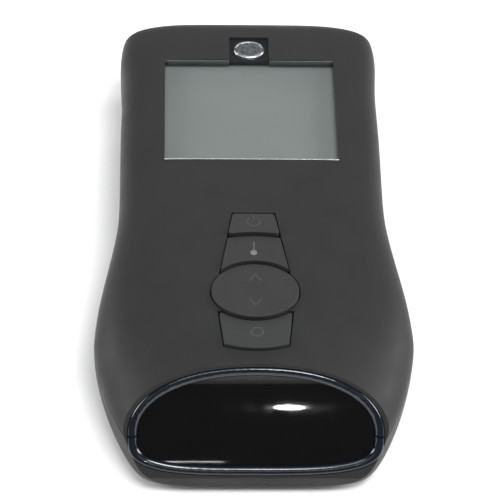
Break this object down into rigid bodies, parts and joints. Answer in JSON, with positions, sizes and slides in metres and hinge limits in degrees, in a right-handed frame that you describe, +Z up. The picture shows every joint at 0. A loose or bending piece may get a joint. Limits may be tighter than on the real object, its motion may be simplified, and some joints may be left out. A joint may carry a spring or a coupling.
{
  "type": "handheld lensmeter",
  "caption": "Handheld battery optical meter on its back: flared matte dark housing, grey display, cluster of push keys and an oval rocker, and a wide glossy dark window in the leaning nose.",
  "frame": {"origin": "centre of the base rectangle, on the flat back that it lies on", "axes": "+Z up out of the display face, +Y towards the display end, nose and window at -Y, +X to the right"},
  "size_m": [0.087, 0.146, 0.0335],
  "materials": {
    "housing_plastic": "matte, fine grain",
    "trim_gloss": "gloss",
    "window_gloss": "polished, dark",
    "rubber": "matte",
    "clear_window": "clear",
    "lcd": "grey-green, matte",
    "white_plastic": "matte",
    "badge_metal": "satin",
    "key_plastic": "matte",
    "spring_steel": "bright",
    "screw_steel": "zinc plated",
    "circuit_board": "green lacquer",
    "chip_package": "matte",
    "optic_glass": "clear",
    "led_epoxy": "tinted clear",
    "ribbon": "polyimide",
    "cell_can": "plain wrap"
  },
  "bodies": {
    "housing": {"upper_shell": "housing_plastic", "lower_shell": "housing_plastic", "upper_nose_trim": "trim_gloss", "lower_nose_trim": "trim_gloss", "nose_window": "window_gloss", "window_gasket": "rubber", "display_window": "clear_window", "display_seal": "rubber", "lcd_panel": "lcd", "lcd_backlight": "white_plastic", "lcd_contact_strips": "rubber", "badge_plate": "trim_gloss", "badge": "badge_metal", "power_dome": "spring_steel", "temperature_dome": "spring_steel", "mode_dome": "spring_steel", "rocker_domes": "spring_steel", "main_board": "circuit_board", "microcontroller": "chip_package", "crystal": "spring_steel", "buzzer": "chip_package", "capacitors": "chip_package", "chip_resistors": "chip_package", "board_screws": "screw_steel", "housing_screws": "screw_steel", "sensor_board": "circuit_board", "sensor_screws": "screw_steel", "lens_barrel": "chip_package", "collecting_lens": "optic_glass", "photodiode": "chip_package", "emitter_leds": "led_epoxy", "ribbon_sockets": "white_plastic", "ribbon_cable": "ribbon", "cell_1": "cell_can", "cell_2": "cell_can", "contact_springs": "spring_steel", "contact_plates": "spring_steel"},
    "power_button": {"power_key": "key_plastic"},
    "temperature_button": {"temperature_key": "key_plastic"},
    "rocker": {"rocker_key": "key_plastic"},
    "mode_button": {"mode_key": "key_plastic"},
    "door": {"battery_door": "housing_plastic"}
  },
  "joints": [
    {"name": "power_press", "type": "slide", "parent": "housing", "child": "power_button", "axis": [0, 0, -1], "range_m": [0, 0.0004], "stiffness_N_per_m": 3000, "springref_m": -0.0001, "deforming": ["power_dome"]},
    {"name": "temperature_press", "type": "slide", "parent": "housing", "child": "temperature_button", "axis": [0, 0, -1], "range_m": [0, 0.0004], "stiffness_N_per_m": 3000, "springref_m": -0.0001, "deforming": ["temperature_dome"]},
    {"name": "mode_press", "type": "slide", "parent": "housing", "child": "mode_button", "axis": [0, 0, -1], "range_m": [0, 0.0004], "stiffness_N_per_m": 3000, "springref_m": -0.0001, "deforming": ["mode_dome"]},
    {"name": "rocker_tilt", "type": "hinge", "parent": "housing", "child": "rocker", "pos_m": [0, -0.02965, 0.0276], "axis": [1, 0, 0], "range_deg": [-3, 3], "stiffness_Nm_per_rad": 0.4},
    {"name": "door_slide", "type": "slide", "parent": "housing", "child": "door", "axis": [0, 1, 0], "range_m": [0, 0.006]}
  ]
}
